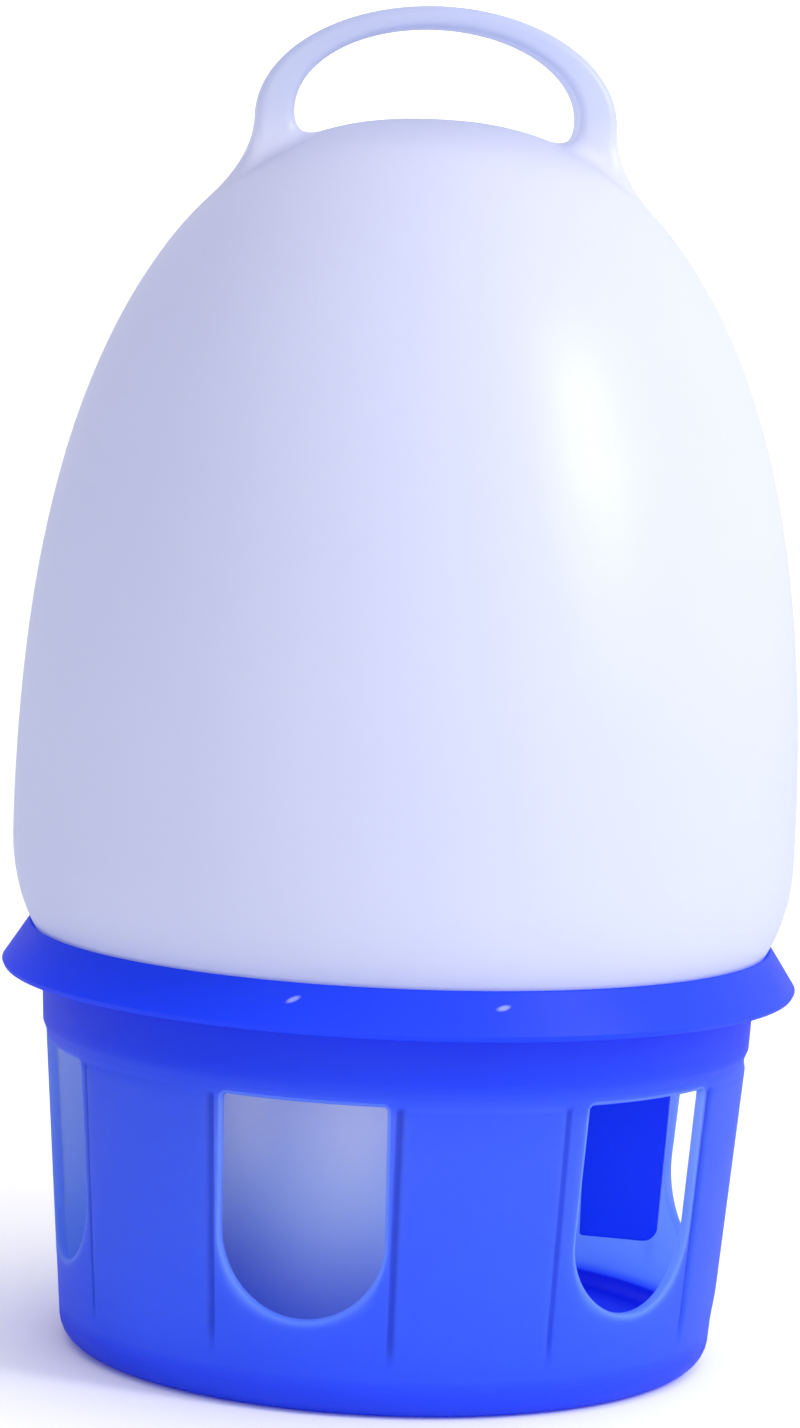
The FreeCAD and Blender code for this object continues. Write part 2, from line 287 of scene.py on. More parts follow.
def window_outline(corner_share_rows, bottom_cells, top_columns):
    """Points round the window in its own plane, clockwise from the top left, with outward normals.

    The top takes one point for each block column, the sides one for each block row,
    and the round sill one for each block column again.
    """
    half, top = WINDOW["half_width"], WINDOW["top"]
    middle = WINDOW["bottom"] + half
    cut = WINDOW["corner_rounding"] * (1 - math.sqrt(0.5))
    slant = Vector((math.sqrt(0.5), math.sqrt(0.5)))

    def side_point(distance):
        straight = top - middle
        if distance <= straight:
            return Vector((half, top - distance)), Vector((1, 0))
        angle = (distance - straight) / half
        normal = Vector((math.cos(angle), -math.sin(angle)))
        return Vector((0, middle)) + normal * half, normal

    length = top - middle + half * math.pi / 4
    top_row = [(Vector((half * share, top)), Vector((0, 1))) for share in top_columns[1:-1]]
    corner = Vector((half - cut, top - cut))
    side = [side_point(length * share) for share in corner_share_rows[1:]]
    sill = []
    for share in bottom_cells[1:-1]:
        angle = -math.pi / 2 + share * math.pi / 4
        normal = Vector((math.cos(angle), math.sin(angle)))
        sill.append((Vector((0, middle)) + normal * half, normal))

    def flip(pair):
        return Vector((-pair[0].x, pair[0].y)), Vector((-pair[1].x, pair[1].y))

    right_corner = (corner, slant)
    ring = [flip(right_corner), *top_row, right_corner, *side]
    ring += list(reversed(sill))
    ring += [flip(pair) for pair in reversed(side)]
    return ring


def block_ring(rows, first_row, last_row, first_column, last_column):
    """The cup grid's own vertices round one block, clockwise from the top left, seen from outside."""
    top = [rows[last_row][c] for c in range(first_column, last_column + 1)]
    right = [rows[r][last_column] for r in range(last_row - 1, first_row - 1, -1)]
    bottom = [rows[first_row][c] for c in range(last_column - 1, first_column - 1, -1)]
    left = [rows[r][first_column] for r in range(first_row + 1, last_row)]
    return top + right + bottom + left


def on_cup(flat, radius_at, depth, turn):
    """The window plane's point put on the cup's round wall, depth inside the surface given by radius_at."""
    radius = radius_at(flat.y) - depth
    point = Vector((flat.x, -math.sqrt(radius**2 - flat.x**2), flat.y)) * MM
    return Matrix.Rotation(turn, 3, "Z") @ point


def window_patch(builder, outer_ring, inner_ring, outline, turn):
    """Wall round one window: outer face, rounded edge, jamb, rounded edge and inner face."""
    big, small = WINDOW["outer_rounding"], WINDOW["inner_rounding"]
    rim = builder.verts.layers.float["rim"]
    shares = (0.82, 0.6, 0.38, 0.2, 0.08, 0.0)

    def rings_from(border, radius_at, rounding):
        back = Matrix.Rotation(-turn, 3, "Z")
        made = []
        for share in shares:
            ring = []
            for vertex, (point, normal) in zip(border, outline):
                own = back @ vertex.co / MM
                flat = Vector((own.x, own.z)) * share + (point + normal * rounding) * (1 - share)
                ring.append(builder.verts.new(on_cup(flat, radius_at, 0.0, turn)))
            made.append(ring)
        return made

    def edge_rings(radius_at, rounding, inward, steps=4):
        made = []
        for i in range(1, steps + 1):
            angle = math.pi / 2 * i / steps
            offset = rounding * (1 - math.sin(angle))
            depth = rounding * (1 - math.cos(angle)) * inward
            ring = [on_cup(point + normal * offset, radius_at, depth, turn) for point, normal in outline]
            made.append([builder.verts.new(co) for co in ring])
        return made

    outer = [outer_ring, *rings_from(outer_ring, wall_radius, big), *edge_rings(wall_radius, big, 1)]
    inner = [inner_ring, *rings_from(inner_ring, inner_wall_radius, small)]
    inner += edge_rings(inner_wall_radius, small, -1)
    # painted highlight along the window's rounded outer edge
    for ring, share in zip(outer[-len(RIM_HIGHLIGHT_SHARES):], RIM_HIGHLIGHT_SHARES):
        for vertex in ring:
            vertex[rim] = share
    for ring_a, ring_b in zip(outer, outer[1:]):
        quad_strip(builder, ring_a, ring_b)
    for ring_a, ring_b in zip(inner, inner[1:]):
        quad_strip(builder, ring_a, ring_b)
    quad_strip(builder, outer[-1], inner[-1])


def make_base_cup(material):
    """The whole base moulding as one mesh, with rounded windows, panels, band, drip skirt and seat."""
    builder = bmesh.new()
    layers = builder.verts.layers.float
    # vertex masks for painted light: groove holds painted shade in the grooves, rim a painted highlight on
    # the windows' outer edges, trough the trough floor's painted light
    for name in ("groove", "rim", "trough"):
        layers.new(name)
    groove, trough_light_mask = layers["groove"], layers["trough"]
    wall_rows = [CUP["wall_low"], 9.5, 11.0, 12.0, 13.0, 14.0, 14.6, *spread(BLOCK_BOTTOM, 74.0, 26)]
    wall_rows += [75.2, 76.0, 76.6, 77.1, BLOCK_TOP, CUP["wall_high"]]
    recess, inner_foot = CUP["foot_recess"], CUP["foot_inner_radius"]
    underside = rounded_profile([
        (CUP["centre_radius"], recess, 0),
        (inner_foot, recess, 0.6),
        (inner_foot + recess, 0.0, 0.5),
        (CUP["wall_foot_radius"], 0.0, CUP["bottom_rounding"]),
        (wall_radius(CUP["wall_low"]), CUP["wall_low"], 0),
    ], steps=7)[:-1]
    edge = CUP["rim_edge_thickness"] / 2
    rim, rim_height = CUP["rim_radius"], CUP["rim_edge_height"]
    ledge_radius = CUP["pocket_radius"] - CUP["ledge_width"]
    top_profile = rounded_profile([
        (wall_radius(CUP["wall_high"]), CUP["wall_high"], 0),
        (*CUP["wall_top"], 0.5),
        (*CUP["band_bottom"], 0.7),
        (*CUP["band_top"], 1.2),
        (rim - edge, rim_height - edge, 0.5),
        (rim, rim_height + edge, 0.5),
        (CUP["seat_radius"], CUP["seat_height"], 0.5),
        (CUP["pocket_radius"], CUP["seat_inner_height"], 0.6),
        (CUP["pocket_radius"], CUP["ledge_height"], 0.2),
        (ledge_radius, CUP["ledge_height"], 0.3),
        (ledge_radius, CUP["ledge_height"] - CUP["ledge_depth"], 0.3),
        (inner_wall_radius(CUP["wall_high"]), CUP["wall_high"], 0),
    ], guard=0.15)[1:-1]
    trough = rounded_profile([
        (inner_wall_radius(CUP["wall_low"]), CUP["wall_low"], 0),
        (CUP["wall_foot_radius"] - CUP["wall_thickness"], CUP["floor_top"], CUP["trough_rounding"]),
        (CUP["centre_radius"], CUP["floor_top"], 0),
    ], steps=7)[1:]

    profile = [(r, z, False) for r, z in underside]
    first_outer = len(profile)
    profile += [(wall_radius(z), z, True) for z in wall_rows]
    profile += [(r, z, False) for r, z in top_profile]
    first_inner = len(profile)
    profile += [(inner_wall_radius(z), z, False) for z in reversed(wall_rows)]
    first_trough = len(profile)
    profile += [(r, z, False) for r, z in trough]

    columns, blocks = [], []
    step = 360 / WINDOW["count"]
    for sector in range(WINDOW["count"]):
        own, first, last = sector_angles(sector)
        blocks.append((len(columns) + first, len(columns) + last, sector))
        columns += [(sector * step + a, beyond) for a, beyond in own]

    rows = []
    for number, (radius, height, on_wall) in enumerate(profile):
        row = []
        for angle, beyond in columns:
            relief = panel_relief(beyond, height) if on_wall else 0.0
            vertex = builder.verts.new(at(radius + relief, angle, height))
            vertex[groove] = groove_shade_share(beyond, height) if on_wall else 0.0
            vertex[trough_light_mask] = 1.0 if number >= first_trough else 0.0
            row.append(vertex)
        rows.append(row)

    low = wall_rows.index(BLOCK_BOTTOM)
    high = wall_rows.index(BLOCK_TOP)
    outer_rows = (first_outer + low, first_outer + high)
    inner_rows = (first_inner + len(wall_rows) - 1 - high, first_inner + len(wall_rows) - 1 - low)

    def in_block(row, column):
        banded = outer_rows[0] <= row < outer_rows[1] or inner_rows[0] <= row < inner_rows[1]
        return banded and any(first <= column < last for first, last, _ in blocks)

    count = len(columns)
    for r in range(len(rows) - 1):
        for c in range(count):
            if not in_block(r, c):
                d = (c + 1) % count
                builder.faces.new((rows[r][c], rows[r][d], rows[r + 1][d], rows[r + 1][c]))
    for end, height, share in ((0, recess, 0.0), (-1, CUP["floor_top"], 1.0)):
        middle = builder.verts.new((0, 0, height * MM))
        middle[trough_light_mask] = share
        quad_strip(builder, rows[end], [middle])

    for first, last, sector in blocks:
        angles = [columns[c][0] - sector * step for c in range(first, last + 1)]
        across = [a / BLOCK_ANGLE for a in angles]
        heights = wall_rows[low:high + 1]
        down = [(BLOCK_TOP - z) / (BLOCK_TOP - BLOCK_BOTTOM) for z in reversed(heights)]
        outline = window_outline(down, across, across)
        outer_ring = block_ring(rows, *outer_rows, first, last)
        flipped = list(reversed(rows[inner_rows[0]:inner_rows[1] + 1]))
        inner_ring = block_ring(flipped, 0, len(flipped) - 1, first, last)
        window_patch(builder, outer_ring, inner_ring, outline, math.radians(sector * step))

    piece = new_piece("base_cup_moulding", builder, material, "base")
    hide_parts("base_cup")
    return piece


# ---------------------------------------------------------------- neck guide
def outline_normals(outline):
    """Outward unit normal at each point of a closed outline that runs anticlockwise."""
    normals = []
    for i, here in enumerate(outline):
        along = outline[(i + 1) % len(outline)] - outline[i - 1]
        normals.append(Vector((along.y, -along.x)).normalized())
    return normals


def add_fin(builder, turn):
    """A plate with rounded edges hanging from the guide's floor, its outer lower corner well rounded."""
    low, top = GUIDE["fin_bottom"], GUIDE["socket_bottom"] + GUIDE["thickness"] / 2
    corners = [
        (GUIDE["fin_inner"], top, 0),
        (GUIDE["fin_inner"], low, 0.8),
        (GUIDE["fin_tip"], low, GUIDE["fin_corner"]),
        (GUIDE["fin_outer"], GUIDE["socket_bottom"], 0.3),
        (GUIDE["fin_outer"], top, 0),
    ]
    outline = [Vector(point) for point in rounded_profile(corners, steps=8)]
    normals = outline_normals(outline)
    half, rounding = GUIDE["thickness"] / 2, GUIDE["fin_rounding"]
    turned = Matrix.Rotation(turn, 3, "Z")

    def ring(across, inset):
        flats = [point - normal * inset for point, normal in zip(outline, normals)]
        return [builder.verts.new(turned @ Vector((flat.x, across, flat.y)) * MM) for flat in flats]

    sides = []
    for side in (1, -1):
        rings = [ring(side * half, rounding + 0.3)]
        for angle in spread(math.pi / 2, 0.0, 3):
            across = half - rounding + rounding * math.sin(angle)
            rings.append(ring(side * across, rounding * (1 - math.cos(angle))))
        builder.faces.new(rings[0])
        sides += rings[::side]
    for ring_a, ring_b in zip(sides, sides[1:]):
        quad_strip(builder, ring_a, ring_b)


def make_neck_guide(material):
    """Stepped ring that drops into the cup's mouth, with two fins beneath it."""
    builder = bmesh.new()
    thick, floor = GUIDE["thickness"], GUIDE["socket_bottom"]
    ledge, socket, flange = CUP["ledge_height"], GUIDE["socket_radius"], GUIDE["flange_radius"]
    middle = (socket + flange) / 2
    profile = rounded_profile([
        (middle, ledge, 0),
        (flange, ledge, 0.5),
        (flange, ledge + thick, 0.6),
        (socket - thick, ledge + thick, 1.0),
        (socket - thick, floor + thick, 1.0),
        (GUIDE["bore_radius"], floor + thick, 0.6),
        (GUIDE["bore_radius"], floor, 0.6),
        (socket, floor, 1.4),
        (socket, ledge, 0.5),
        (middle, ledge, 0),
    ], steps=4, guard=0.15)[:-1]
    rows = [[builder.verts.new(at(r, angle, z)) for angle in range(0, 360, 2)] for r, z in profile]
    for row_a, row_b in zip(rows, rows[1:] + rows[:1]):
        quad_strip(builder, row_a, row_b)
    for turn in (0.0, math.pi):
        add_fin(builder, turn)
    piece = new_piece("neck_guide_ring", builder, material, "guide")
    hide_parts("neck_guide")
    return piece


# ---------------------------------------------------------------- reservoir with its handle
def dome_height(distance, inset=0.0):
    """Height of the upper dome at that distance from the axis."""
    share = min(1.0, distance / (BOTTLE["radius"] - inset)) ** BOTTLE["exponent"]
    return BOTTLE["centre"] + (BOTTLE["rise"] - inset) * (1 - share) ** (1 / BOTTLE["exponent"])


def bottle_profile(inset):
    """Radius and height from the crown down to the neck's mouth, moved inwards by inset."""
    power = 2 / BOTTLE["exponent"]
    radius, heel = BOTTLE["radius"] - inset, BOTTLE["heel_drop"] - inset
    centre, shoulder = BOTTLE["centre"], BOTTLE["shoulder"] + inset
    upper = []
    for angle in spread(math.pi / 2, 0.0, 64)[1:]:
        upper.append((
            radius * max(0.0, math.cos(angle)) ** power,
            centre + (BOTTLE["rise"] - inset) * math.sin(angle) ** power,
        ))
    heel_angle = math.asin(((centre - shoulder) / heel) ** (1 / power))
    lower = []
    for angle in spread(0.0, heel_angle, 22)[1:]:
        lower.append((radius * math.cos(angle) ** power, centre - heel * math.sin(angle) ** power))
    register, register_low = BOTTLE["register_radius"] - inset, BOTTLE["register_bottom"] + inset
    tail = rounded_profile([
        lower[-2] + (0,),
        lower[-1] + (1.5,),
        (register, shoulder, 1.2),
        (register, register_low, 1.5),
        (BOTTLE["neck_radius"] - inset, register_low, 1.5),
        (BOTTLE["neck_tip_radius"] - inset, BOTTLE["neck_bottom"] + 0.8, 0),
    ], steps=4, guard=0.2)
    return upper + lower[:-2] + tail


def seam_columns():
    """Column angles round the bottle, in degrees from the handle's plane, close together at the seams."""
    fine = [0.0, 0.12, 0.28, 0.5, 0.9, 1.5]
    quarter = fine + spread(fine[-1], 90.0, 44)[1:]
    half = quarter + [180 - a for a in reversed(quarter[:-1])]
    return half + [a + 180 for a in half[1:-1]]


def seam_ridge(across):
    """Height of the mould's parting line at that distance from the handle's plane."""
    return SEAM_HEIGHT * math.exp(-((across / SEAM_WIDTH) ** 2))


def uneven_wall(point):
    """Slow swelling of a blown wall, in millimetres."""
    return 0.16 * noise.noise(point * 0.018) + 0.05 * noise.noise(point * 0.06)


def bottle_rows(builder, inset, ridge):
    rows = []
    for radius, height in bottle_profile(inset):
        row = []
        for angle in seam_columns():
            turn = math.radians(angle)
            across = radius * math.sin(turn)
            point = Vector((radius * math.cos(turn), across, height))
            free = smooth_step(98.0, 125.0, height) * smooth_step(2.0, 20.0, radius)
            from_foot = math.inf
            if height > BOTTLE["centre"]:
                from_foot = math.hypot(abs(point.x) - FOOT_CENTRE, point.y)
            swell = (uneven_wall(point) - 0.15) * smooth_step(19.0, 34.0, from_foot)
            grow = free * (swell + (seam_ridge(across) if ridge else 0.0))
            row.append(builder.verts.new((point + Vector((point.x, point.y, 0)).normalized() * grow) * MM))
        rows.append(row)
    return rows


def strap_section(half_thickness):
    """Points of the strap's section: (distance outwards, across, normal outwards, normal across)."""
    depth, rounding = HANDLE["half_depth"], min(HANDLE["rounding"], half_thickness * 0.92)
    flat = half_thickness - rounding
    long_side = [0.2, 0.55, 2.0, 4.0, 6.0]
    points = []
    for quarter in range(4):
        out = 1 if quarter in (0, 3) else -1
        side = 1 if quarter in (0, 1) else -1
        part = [(out * half_thickness, side * y, out, 0.0) for y in long_side]
        for angle in spread(0.0, math.pi / 2, 5):
            part.append((
                out * (flat + rounding * math.cos(angle)),
                side * (depth - rounding + rounding * math.sin(angle)),
                out * math.cos(angle),
                side * math.sin(angle),
            ))
        part.append((out * flat * 0.4, side * depth, 0.0, side))
        points.append(part if quarter in (0, 2) else part[::-1])
    middle_out = (half_thickness, 0.0, 1.0, 0.0)
    middle_in = (-half_thickness, 0.0, -1.0, 0.0)
    return [middle_out, *points[0], *points[1], middle_in, *points[2], *points[3]]


def handle_ring(builder, outer, inner):
    """One ring of the strap between a point of its outer line and one of its inner line."""
    middle, reach = (outer + inner) / 2, (outer - inner).length / 2
    out = (outer - inner).normalized()
    ring = []
    for along, across, normal_out, _ in strap_section(reach):
        lift = seam_ridge(across) * normal_out
        point = middle + out * (along + lift) + Vector((0, across, 0))
        ring.append(builder.verts.new(point * MM))
    return ring


def foot_rings(builder, side, above=3, blend=12):
    """Rings from the hip down: straight, then a fillet in which each line runs out onto the dome.

    A line's run and lift are blended from those of the strap's outer face, inner face and sides.
    """
    wide, narrow = HANDLE["outer"][0], HANDLE["inner"][0]
    hip_outer, hip_inner = HANDLE["outer"][2], HANDLE["inner"][2]
    middle, reach = (wide + narrow) / 2, (wide - narrow) / 2
    lines = []
    for along, across, normal_out, normal_across in strap_section(reach):
        x, y = side * (middle + along), across
        direction = Vector((side * normal_out, normal_across))
        facing = (max(0.0, normal_out) ** 2, max(0.0, -normal_out) ** 2, normal_across**2)
        run = sum(size * part for size, part in zip(FOOT_RUN, facing))
        share = (along + reach) / (2 * reach)
        top = hip_inner + (hip_outer - hip_inner) * share
        lift = sum(size * part for size, part in zip(FOOT_LIFT, facing))
        start = min(top - 0.05, dome_height(math.hypot(x, y)) + lift)
        end_x, end_y = x + direction.x * run, y + direction.y * run
        end = dome_height(math.hypot(end_x, end_y)) - FOOT_SINK
        further = math.hypot(end_x + direction.x * SLOPE_STEP, end_y + direction.y * SLOPE_STEP)
        beyond = dome_height(further) - FOOT_SINK
        knee = end - (beyond - end) / SLOPE_STEP * run
        path = [Vector((x, y, top + (start - top) * t)) for t in spread(0.0, 1.0, above)[1:]]
        first, control, last = Vector((x, y, start)), Vector((x, y, knee)), Vector((end_x, end_y, end))
        for t in spread(0.0, 1.0, blend)[1:]:
            path.append(first * (1 - t) ** 2 + control * 2 * t * (1 - t) + last * t**2)
        lines.append([point + Vector((side * seam_ridge(across) * normal_out, 0, 0)) for point in path])
    return [[builder.verts.new(line[i] * MM) for line in lines] for i in range(above + blend)]


def add_handle(builder):
    """The arched strap and its two flared feet, in the bottle's own turn."""
    rings = []
    for angle in spread(0.0, math.pi, 56):
        outer, inner = (
            Vector((half_width * math.cos(angle), 0, height + rise * math.sin(angle)))
            for half_width, rise, height in (HANDLE["outer"], HANDLE["inner"])
        )
        rings.append(handle_ring(builder, outer, inner))
    right = foot_rings(builder, 1)
    left = foot_rings(builder, -1)
    order = [*reversed(right), *rings, *left]
    for ring_a, ring_b in zip(order, order[1:]):
        quad_strip(builder, ring_a, ring_b)


def make_bottle(material):
    """Blow-moulded reservoir, hollow and open at the neck, with its strap handle, as one piece."""
    builder = bmesh.new()
    outer = bottle_rows(builder, 0.0, True)
    inner = bottle_rows(builder, BOTTLE["wall"], False)
    for rows in (outer, inner):
        crown = sum((v.co for v in rows[0]), Vector()) / len(rows[0])
        quad_strip(builder, [builder.verts.new(crown)], rows[0])
        for row_a, row_b in zip(rows, rows[1:]):
            quad_strip(builder, row_a, row_b)
    lip = []
    for vertex_a, vertex_b in zip(outer[-1], inner[-1]):
        middle = (vertex_a.co + vertex_b.co) / 2
        lip.append(builder.verts.new((middle.x, middle.y, BOTTLE["neck_bottom"] * MM)))
    quad_strip(builder, outer[-1], lip)
    quad_strip(builder, lip, inner[-1])
    add_handle(builder)
    turned = Matrix.Rotation(math.radians(BOTTLE["turn"]), 3, "Z")
    bmesh.ops.rotate(builder, verts=builder.verts, matrix=turned)
    piece = new_piece("reservoir_bottle", builder, material, "reservoir")
    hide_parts("reservoir", "carry_handle")
    return piece


# ---------------------------------------------------------------- materials
# heights in metres where the neck's painted reflection ends and where the strap's painted shade begins
NECK_TOP, STRAP_SHADE_HEIGHTS = (0.082, 0.094), (0.300, 0.312)
# painted light: the trough floor passes less light than the wall and so reflects more, to show lighter than
# its shade
BLUE_SEE_THROUGH, LIT_TROUGH_SEE_THROUGH = 0.62, 0.10
WHITE_SEE_THROUGH, NECK_SEE_THROUGH = 0.52, 0.22
# painted reflection and shade: the white neck turns bluer and darker towards its mouth, standing in for blue
# light from the base round it, and is painted whiter than the dome near its top
NECK_PAINTED_LIGHT = [(12.0, (0.50, 0.68, 1.0)), (40.0, (0.74, 0.87, 1.0)), (78.0, (0.99, 0.99, 1.0))]
WHITE_GLOW = [(0.0, (0.80, 0.88, 1.0)), (300.0, (0.86, 0.88, 0.98)), (330.0, (0.62, 0.67, 0.90))]
GUIDE_GLOW = [(0.0, (0.12, 0.32, 1.0)), (110.0, (0.06, 0.22, 1.0))]
WALL_GLOW = [
    (0.0, (0.02, 0.10, 1.0)),
    (6.5, (0.02, 0.12, 1.0)),
    (10.0, (0.40, 0.60, 1.0)),
    (34.0, (0.52, 0.70, 1.0)),
    (74.0, (0.66, 0.80, 1.0)),
    (84.0, (0.06, 0.24, 1.0)),
    (96.0, (0.05, 0.22, 1.0)),
    (110.0, (0.08, 0.30, 1.0)),
]


def new_material(name):
    material = bpy.data.materials.new(name)
    material.use_nodes = True
    tree = material.node_tree
    return material, tree, tree.nodes["Principled BSDF"]


def noise_node(tree, scale, detail=3.0, roughness=0.5):
    """Noise in the object's own metres."""
    place = tree.nodes.new("ShaderNodeTexCoord")
    node = tree.nodes.new("ShaderNodeTexNoise")
    node.inputs["Scale"].default_value = scale
    node.inputs["Detail"].default_value = detail
    node.inputs["Roughness"].default_value = roughness
    tree.links.new(place.outputs["Object"], node.inputs["Vector"])
    return node.outputs["Fac"]


def ramp(tree, value, stops):
    """A colour ramp; each stop is (place, colour)."""
    node = tree.nodes.new("ShaderNodeValToRGB")
    node.color_ramp.elements[0].position = stops[0][0]
    node.color_ramp.elements[1].position = stops[-1][0]
    for place, _ in stops[1:-1]:
        node.color_ramp.elements.new(place)
    for element, (_, colour) in zip(node.color_ramp.elements, stops):
        element.color = (*colour, 1.0)
    tree.links.new(value, node.inputs["Fac"])
    return node.outputs["Color"]


def bump(tree, height, distance, strength, chained=None):
    node = tree.nodes.new("ShaderNodeBump")
    node.inputs["Distance"].default_value = distance
    node.inputs["Strength"].default_value = strength
    tree.links.new(height, node.inputs["Height"])
    if chained is not None:
        tree.links.new(chained, node.inputs["Normal"])
    return node.outputs["Normal"]


def height_of(tree):
    """Height above the table in metres, as a socket."""
    place = tree.nodes.new("ShaderNodeTexCoord")
    split = tree.nodes.new("ShaderNodeSeparateXYZ")
    tree.links.new(place.outputs["Object"], split.inputs[0])
    return split.outputs["Z"]


def fade(tree, value, start, end):
    """0 at start and 1 at end of value, smoothly."""
    node = tree.nodes.new("ShaderNodeMapRange")
    node.interpolation_type = "SMOOTHSTEP"
    node.inputs["From Min"].default_value = start
    node.inputs["From Max"].default_value = end
    tree.links.new(value, node.inputs["Value"])
    return node.outputs["Result"]


def arithmetic(tree, operation, first, second):
    node = tree.nodes.new("ShaderNodeMath")
    node.operation = operation
    for socket, value in zip(node.inputs, (first, second)):
        if isinstance(value, float):
            socket.default_value = value
        else:
            tree.links.new(value, socket)
    return node.outputs["Value"]


def between(tree, share, low, high):
    """The number that share of the way from low to high."""
    return arithmetic(tree, "ADD", arithmetic(tree, "MULTIPLY", share, high - low), low)


def tint(tree, share, below, above):
    """Mixes two colours, each a socket or three numbers, by share."""
    node = tree.nodes.new("ShaderNodeMix")
    node.data_type = "RGBA"
    tree.links.new(share, node.inputs["Factor"])
    for socket, colour in ((node.inputs[6], below), (node.inputs[7], above)):
        if isinstance(colour, tuple):
            socket.default_value = (*colour, 1.0)
        else:
            tree.links.new(colour, socket)
    return node.outputs[2]


def by_height(tree, stops):
    """A colour that changes with height; each stop is (millimetres, colour)."""
    span = stops[-1][0]
    share = arithmetic(tree, "MULTIPLY", height_of(tree), 1 / (span * MM))
    return ramp(tree, share, [(height / span, colour) for height, colour in stops])


def wear_and_glint_streak(tree, colour, place, angle, tilt, length, width, shade, strength):
    """Colour with a small streak of another shade round place, used for a worn mark and for painted
    highlights; place and sizes in millimetres.
    """
    coordinate = tree.nodes.new("ShaderNodeTexCoord")
    mapping = tree.nodes.new("ShaderNodeMapping")
    mapping.vector_type = "TEXTURE"
    mapping.inputs["Location"].default_value = place
    mapping.inputs["Rotation"].default_value = (0.0, -math.radians(tilt), math.radians(angle))
    mapping.inputs["Scale"].default_value = Vector((length / 2, 6.0, width / 2)) * MM
    tree.links.new(coordinate.outputs["Object"], mapping.inputs["Vector"])
    reach = tree.nodes.new("ShaderNodeVectorMath")
    reach.operation = "LENGTH"
    tree.links.new(mapping.outputs["Vector"], reach.inputs[0])
    share = arithmetic(tree, "MULTIPLY", fade(tree, reach.outputs["Value"], 1.0, 0.3), strength)
    return tint(tree, share, colour, shade)


def painted(tree, name):
    """The share that the mesh's own vertices carry under that name."""
    node = tree.nodes.new("ShaderNodeAttribute")
    node.attribute_name = name
    return node.outputs["Fac"]


def blue_plastic(name, glow_stops):
    """Semi-gloss ultramarine polypropylene; glow_stops give the colour of the light it passes, by height."""
    material, tree, shader = new_material(name)
    colour = ramp(tree, noise_node(tree, 9.0), [(0.35, (0.009, 0.072, 0.90)), (0.65, (0.018, 0.088, 0.96))])
    # painted shade: the grooves along the panels' edges are darkened, where shade falls in them
    dark = arithmetic(tree, "MULTIPLY", painted(tree, "groove"), 0.55)
    trough = painted(tree, "trough")
    height = height_of(tree)
    # painted light: the blue turns paler from 50 mm down to 10 mm, standing in for light on the lower wall
    colour = tint(tree, fade(tree, height, 0.050, 0.010), colour, (0.034, 0.118, 1.0))
    # painted highlight: a paler blue strip from 74.5 mm to 81.5 mm, where the step under the band catches
    # light
    below, above = fade(tree, height, 0.0745, 0.0775), fade(tree, height, 0.0815, 0.0800)
    painted_highlight_strip = arithmetic(tree, "MULTIPLY", below, above)
    colour = tint(tree, arithmetic(tree, "MULTIPLY", painted_highlight_strip, 0.5), colour, (0.05, 0.14, 1.0))
    colour = tint(tree, dark, colour, (0.004, 0.03, 0.50))
    # painted highlight: paler blue along the windows' rounded outer edges
    colour = tint(tree, arithmetic(tree, "MULTIPLY", painted(tree, "rim"), 0.75), colour, (0.20, 0.40, 1.0))
    # painted light: the trough floor is a purer, brighter blue and, passing less light, reflects more, so it
    # shows lighter than the shade it sits in
    colour = tint(tree, trough, colour, (0.012, 0.040, 1.0))
    # painted highlights: two small pale streaks on the flare, standing in for glints
    for angle, tilt in ((-0.5, 24.0), (29.2, 12.0)):
        colour = wear_and_glint_streak(tree, colour, at(95.9, angle, 102.0), angle, tilt, 4.6, 1.5, (0.75, 0.85, 1.0), 0.8)
    tree.links.new(colour, shader.inputs["Base Color"])
    rough = ramp(tree, noise_node(tree, 60.0), [(0.3, (0.38,) * 3), (0.7, (0.46,) * 3)])
    tree.links.new(rough, shader.inputs["Roughness"])
    shader.inputs["Specular IOR Level"].default_value = 0.46
    normal = bump(tree, noise_node(tree, 1400.0, 2.0), 0.00006, 0.35)
    normal = bump(tree, noise_node(tree, 45.0), 0.0006, 0.25, normal)
    tree.links.new(normal, shader.inputs["Normal"])
    # painted shade: less light passes through the wall in the grooves
    glow = tint(tree, dark, by_height(tree, glow_stops), (0.02, 0.10, 0.45))
    see_through(tree, shader, glow, between(tree, trough, BLUE_SEE_THROUGH, LIT_TROUGH_SEE_THROUGH))
    return material


def see_through(tree, shader, colour, share):
    """Lets a share of the light pass through the wall, scattered; colour and share are sockets."""
    glow = tree.nodes.new("ShaderNodeBsdfTranslucent")
    tree.links.new(colour, glow.inputs["Color"])
    mix = tree.nodes.new("ShaderNodeMixShader")
    tree.links.new(share, mix.inputs["Fac"])
    tree.links.new(shader.outputs["BSDF"], mix.inputs[1])
    tree.links.new(glow.outputs["BSDF"], mix.inputs[2])
    tree.links.new(mix.outputs["Shader"], tree.nodes["Material Output"].inputs["Surface"])


